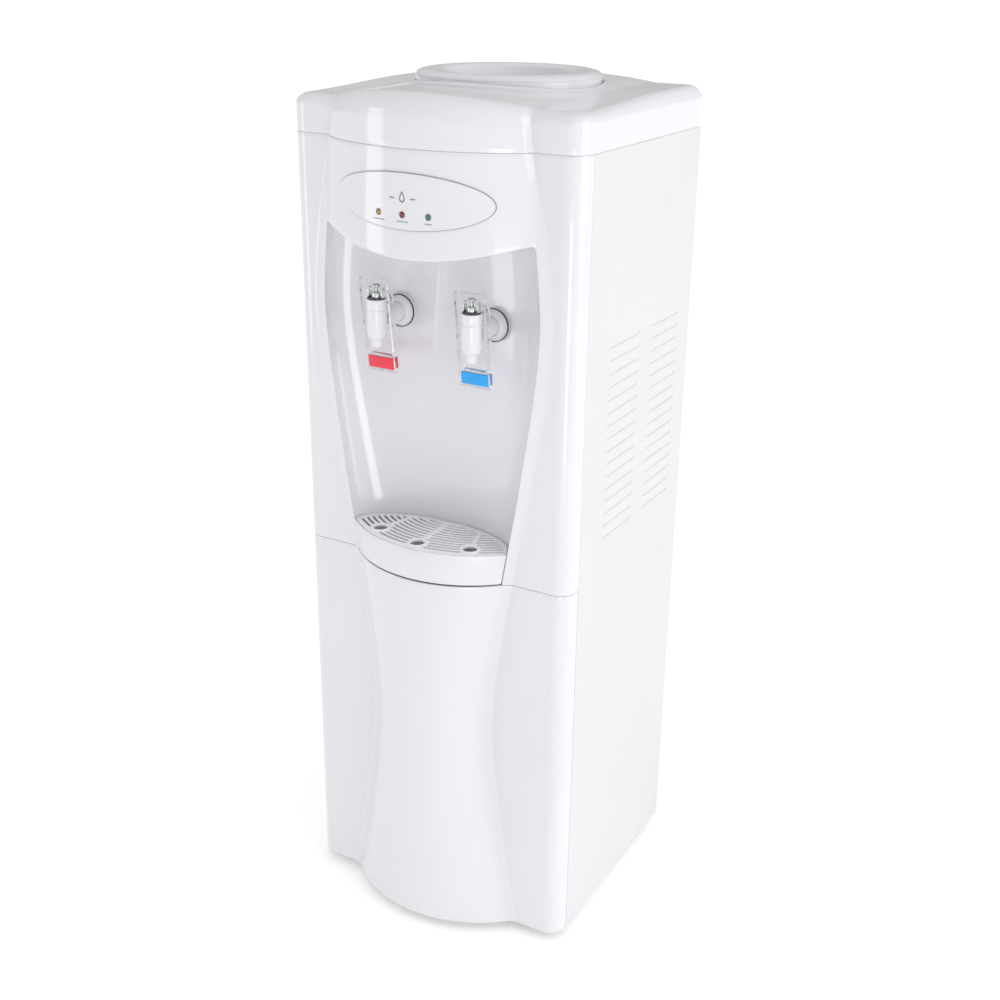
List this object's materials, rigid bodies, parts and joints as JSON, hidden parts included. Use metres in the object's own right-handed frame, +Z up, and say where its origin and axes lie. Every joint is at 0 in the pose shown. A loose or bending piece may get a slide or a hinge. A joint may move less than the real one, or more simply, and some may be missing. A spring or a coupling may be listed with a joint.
{
  "type": "water dispenser",
  "caption": "Floor-standing top-loading water dispenser with push-lever hot and cold taps in a hollow bay, a pull-out drip tray and a round bottle seat.",
  "frame": {"origin": "centre of the overall footprint, on the floor", "axes": "+Z up, -Y to the front where the taps are, +X to the right seen from the front"},
  "size_m": [0.31, 0.3094, 0.882],
  "materials": {
    "white_plastic": "glossy moulded white with a faint cool tint",
    "white_steel": "semi-gloss white powder coat",
    "galvanised": "dull galvanised sheet",
    "stainless": "deep-drawn stainless, satin",
    "dark_metal": "dark plated metal",
    "spring_steel": "drawn stainless wire",
    "copper": "drawn copper tube",
    "black_paint": "black enamel",
    "black_plastic": "black moulded plastic",
    "rubber": "moulded rubber",
    "silicone": "translucent silicone",
    "foam": "expanded polystyrene beads",
    "clear_plastic": "clear polycarbonate, polished",
    "red_plastic": "glossy red",
    "blue_plastic": "glossy blue",
    "badge": "glossy white, printed marks",
    "amber_lens": "tinted lens",
    "red_lens": "tinted lens",
    "green_lens": "tinted lens",
    "circuit_board": "solder-masked laminate"
  },
  "bodies": {
    "cabinet": {"front_panel_upper": "white_plastic", "front_panel_lower": "white_plastic", "top_cover": "white_plastic", "side_panel_left": "white_steel", "side_panel_right": "white_steel", "rear_panel": "white_steel", "base_plate": "galvanised", "foot_front_left": "rubber", "foot_front_right": "rubber", "foot_rear_left": "rubber", "foot_rear_right": "rubber", "badge_plate": "badge", "lamp_cooling": "amber_lens", "lamp_heating": "red_lens", "lamp_power": "green_lens", "tray_shelf": "white_plastic", "cold_tank": "stainless", "compressor": "black_paint", "condenser": "black_paint", "switch_block": "black_plastic", "cord_gland": "black_plastic", "drain_outlet": "white_plastic", "hot_tap_body": "white_plastic", "hot_tap_flange": "white_plastic", "hot_tap_bonnet": "dark_metal", "cold_tap_body": "white_plastic", "cold_tap_flange": "white_plastic", "cold_tap_bonnet": "dark_metal", "band_heater": "dark_metal", "cold_hose": "silicone", "hot_hose": "silicone", "hot_feed_hose": "silicone", "drain_hose": "silicone", "evaporator_coil": "copper", "tank_separator": "white_plastic", "tank_insulation": "foam", "tank_seal": "silicone", "hot_tank": "stainless", "hot_thermostat": "black_plastic", "indicator_board": "circuit_board", "filter_drier": "copper", "cold_shank_nut": "white_plastic", "hot_shank_nut": "white_plastic"},
    "bottle_seat": {"bottle_seat_collar": "white_plastic"},
    "water_guard": {"water_guard": "white_plastic"},
    "drip_tray": {"drip_tray": "white_plastic"},
    "drip_grille": {"drip_grille": "white_plastic"},
    "hot_lever": {"hot_tap_lever": "clear_plastic", "hot_lever_insert": "red_plastic"},
    "hot_valve": {"hot_tap_stem": "spring_steel", "hot_valve_plug": "silicone", "hot_tap_spring": "spring_steel"},
    "cold_lever": {"cold_tap_lever": "clear_plastic", "cold_lever_insert": "blue_plastic"},
    "cold_valve": {"cold_tap_stem": "spring_steel", "cold_valve_plug": "silicone", "cold_tap_spring": "spring_steel"},
    "heating_switch": {"heating_switch": "red_plastic"},
    "cooling_switch": {"cooling_switch": "blue_plastic"},
    "drain_cap": {"drain_cap": "blue_plastic"}
  },
  "joints": [
    {"name": "bottle_seat_lift", "type": "slide", "parent": "cabinet", "child": "bottle_seat", "axis": [0, 0, 1], "range_m": [0, 0.06]},
    {"name": "water_guard_lift", "type": "slide", "parent": "bottle_seat", "child": "water_guard", "axis": [0, 0, 1], "range_m": [0, 0.08]},
    {"name": "drip_tray_slide", "type": "slide", "parent": "cabinet", "child": "drip_tray", "axis": [0, -1, 0], "range_m": [0, 0.09]},
    {"name": "drip_grille_lift", "type": "slide", "parent": "drip_tray", "child": "drip_grille", "axis": [0, 0, 1], "range_m": [0, 0.03]},
    {"name": "hot_lever_push", "type": "hinge", "parent": "cabinet", "child": "hot_lever", "pos_m": [-0.0525, -0.1208, 0.6895], "axis": [1, 0, 0], "range_deg": [0, 16], "stiffness_Nm_per_rad": 0.3, "springref_deg": -8.59},
    {"name": "hot_valve_lift", "type": "slide", "parent": "cabinet", "child": "hot_valve", "axis": [0, 0, 1], "range_m": [0, 0.0025], "deforming": ["hot_tap_spring"]},
    {"name": "cold_lever_push", "type": "hinge", "parent": "cabinet", "child": "cold_lever", "pos_m": [0.0525, -0.1208, 0.6895], "axis": [1, 0, 0], "range_deg": [0, 16], "stiffness_Nm_per_rad": 0.3, "springref_deg": -8.59},
    {"name": "cold_valve_lift", "type": "slide", "parent": "cabinet", "child": "cold_valve", "axis": [0, 0, 1], "range_m": [0, 0.0025], "deforming": ["cold_tap_spring"]},
    {"name": "heating_switch_rock", "type": "hinge", "parent": "cabinet", "child": "heating_switch", "pos_m": [-0.0975, 0.1337, 0.3], "axis": [1, 0, 0], "range_deg": [0, 16]},
    {"name": "cooling_switch_rock", "type": "hinge", "parent": "cabinet", "child": "cooling_switch", "pos_m": [-0.0725, 0.1337, 0.3], "axis": [1, 0, 0], "range_deg": [0, 16]},
    {"name": "drain_cap_off", "type": "slide", "parent": "cabinet", "child": "drain_cap", "axis": [0, 1, 0], "range_m": [0, 0.02]}
  ],
  "couplings": [
    {"joint": "hot_valve_lift", "follows": "hot_lever_push", "m_per_rad": 0.0082},
    {"joint": "cold_valve_lift", "follows": "cold_lever_push", "m_per_rad": 0.0082}
  ]
}
